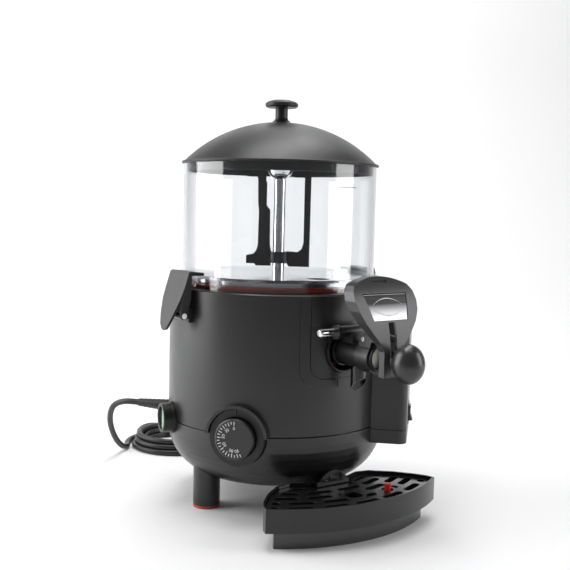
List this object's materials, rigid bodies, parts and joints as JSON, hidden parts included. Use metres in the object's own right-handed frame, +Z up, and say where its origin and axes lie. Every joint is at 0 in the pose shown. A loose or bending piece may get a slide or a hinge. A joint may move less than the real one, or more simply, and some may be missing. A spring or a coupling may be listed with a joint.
{
  "type": "heated sauce dispenser",
  "caption": "Countertop heated sauce dispenser: clear bowl with a slow agitator over a round water-bath heater, lever tap with shield, drip tray, thermostat and mains lead.",
  "frame": {"origin": "on the worktop, under the middle of the machine's outline; the drum's upright axis stands 58.5 mm behind it", "axes": "+Z up, -Y towards the user, out of the tap; +X to the user's right"},
  "size_m": [0.3016, 0.561, 0.465],
  "materials": {
    "drum_black": "satin",
    "pan_black": "satin",
    "socket_black": "matte",
    "tap_black": "matte",
    "latch_grey": "satin",
    "shield_grey": "satin",
    "knob_black": "satin",
    "lid_black": "matte",
    "agitator_black": "matte",
    "tray_black": "glossy",
    "red_silicone": "matte",
    "float_red": "glossy",
    "clear_polycarbonate": "clear, glossy",
    "smoked_plastic": "glossy",
    "stainless": "brushed",
    "polished_steel": "polished",
    "element_steel": "heat-tinted",
    "motor_grey": "cast",
    "white_plastic": "matte",
    "brass": "plain",
    "badge_silver": "satin",
    "lens_green": "glossy",
    "board_green": "glossy",
    "cord_black": "satin"
  },
  "bodies": {
    "machine": {"housing_shell": "drum_black", "lower_pan": "pan_black", "feet": "pan_black", "foot_pads": "red_silicone", "base_cover": "socket_black", "cover_screws": "stainless", "panel_frame": "drum_black", "tap_panel": "drum_black", "tap_socket": "socket_black", "water_bath": "stainless", "heated_floor": "stainless", "outlet_elbow": "stainless", "heating_element": "element_steel", "gearmotor": "motor_grey", "motor_bracket": "stainless", "drive_tube": "polished_steel", "tube_cup": "polished_steel", "shaft_bushes": "white_plastic", "bowl": "clear_polycarbonate", "bowl_seal": "red_silicone", "latch_brackets": "pan_black", "latch_pins": "stainless", "thermostat_ring": "socket_black", "thermostat_body": "brass", "switch_bezel": "socket_black", "switch_body": "white_plastic", "box_shell": "drum_black", "box_cap": "pan_black", "box_board": "board_green", "tap_barrel": "tap_black", "tap_seal": "red_silicone", "spout": "smoked_plastic", "lever_bracket": "tap_black", "lever_spring": "stainless", "shield": "shield_grey", "badge": "badge_silver", "lever_pin": "stainless", "strain_relief": "cord_black", "mains_lead": "cord_black", "lead_coil": "cord_black", "lead_tail": "cord_black", "mains_plug": "cord_black"},
    "lid": {"lid": "lid_black", "lid_knob": "lid_black"},
    "agitator": {"drive_shaft": "polished_steel", "agitator": "agitator_black"},
    "latch_left": {"latch_left": "latch_grey"},
    "latch_right": {"latch_right": "latch_grey"},
    "thermostat": {"thermostat_knob": "knob_black"},
    "power_rocker": {"power_rocker": "lens_green"},
    "box_rocker": {"box_rocker": "socket_black"},
    "tap_lever": {"tap_lever": "tap_black", "lever_knob": "knob_black"},
    "tap_piston": {"tap_piston": "white_plastic", "piston_rings": "red_silicone"},
    "lock_pin": {"tap_lock_pin": "polished_steel"},
    "tray": {"drip_tray": "tray_black", "tray_clip": "tray_black"},
    "grate": {"tray_grate": "tray_black"},
    "float": {"tray_float": "float_red"}
  },
  "joints": [
    {"name": "lid_lift", "type": "slide", "parent": "machine", "child": "lid", "axis": [0, 0, 1], "range_m": [0, 0.12]},
    {"name": "agitator_turn", "type": "hinge", "parent": "machine", "child": "agitator", "pos_m": [0, 0.0585, 0.3], "axis": [0, 0, 1], "continuous": true},
    {"name": "latch_left_swing", "type": "hinge", "parent": "machine", "child": "latch_left", "pos_m": [-0.137, 0.0585, 0.222], "axis": [0, -1, 0], "range_deg": [0, 35]},
    {"name": "latch_right_swing", "type": "hinge", "parent": "machine", "child": "latch_right", "pos_m": [0.137, 0.0585, 0.222], "axis": [0, 1, 0], "range_deg": [0, 35]},
    {"name": "thermostat_turn", "type": "hinge", "parent": "machine", "child": "thermostat", "pos_m": [-0.10382, -0.01974, 0.097], "axis": [0.7986, 0.6018, 0], "range_deg": [0, 200]},
    {"name": "power_rock", "type": "hinge", "parent": "machine", "child": "power_rocker", "pos_m": [-0.12614, 0.08995, 0.0995], "axis": [0, 0, 1], "range_deg": [0, 16]},
    {"name": "box_switch_rock", "type": "hinge", "parent": "machine", "child": "box_rocker", "pos_m": [0.11066, -0.05216, 0.107], "axis": [0.7071, 0.7071, 0], "range_deg": [0, 14]},
    {"name": "tap_lever_lift", "type": "hinge", "parent": "machine", "child": "tap_lever", "pos_m": [0, -0.1135, 0.209], "axis": [-1, 0, 0], "range_deg": [0, 45], "stiffness_Nm_per_rad": 0.3, "springref_deg": -17.19},
    {"name": "tap_piston_slide", "type": "slide", "parent": "machine", "child": "tap_piston", "axis": [0, -1, 0], "range_m": [0, 0.0125]},
    {"name": "lock_pin_pull", "type": "slide", "parent": "machine", "child": "lock_pin", "axis": [-1, 0, 0], "range_m": [0, 0.06]},
    {"name": "tray_slide", "type": "slide", "parent": "machine", "child": "tray", "axis": [-0.0436, -0.999, 0], "range_m": [0, 0.09]},
    {"name": "grate_tilt", "type": "hinge", "parent": "tray", "child": "grate", "pos_m": [-0.00455, -0.0456, 0.0415], "axis": [-0.999, 0.0436, 0], "range_deg": [0, 25]},
    {"name": "float_rise", "type": "slide", "parent": "tray", "child": "float", "axis": [0, 0, 1], "range_m": [0, 0.008]}
  ],
  "couplings": [
    {"joint": "tap_piston_slide", "follows": "tap_lever_lift", "m_per_rad": 0.0156}
  ]
}
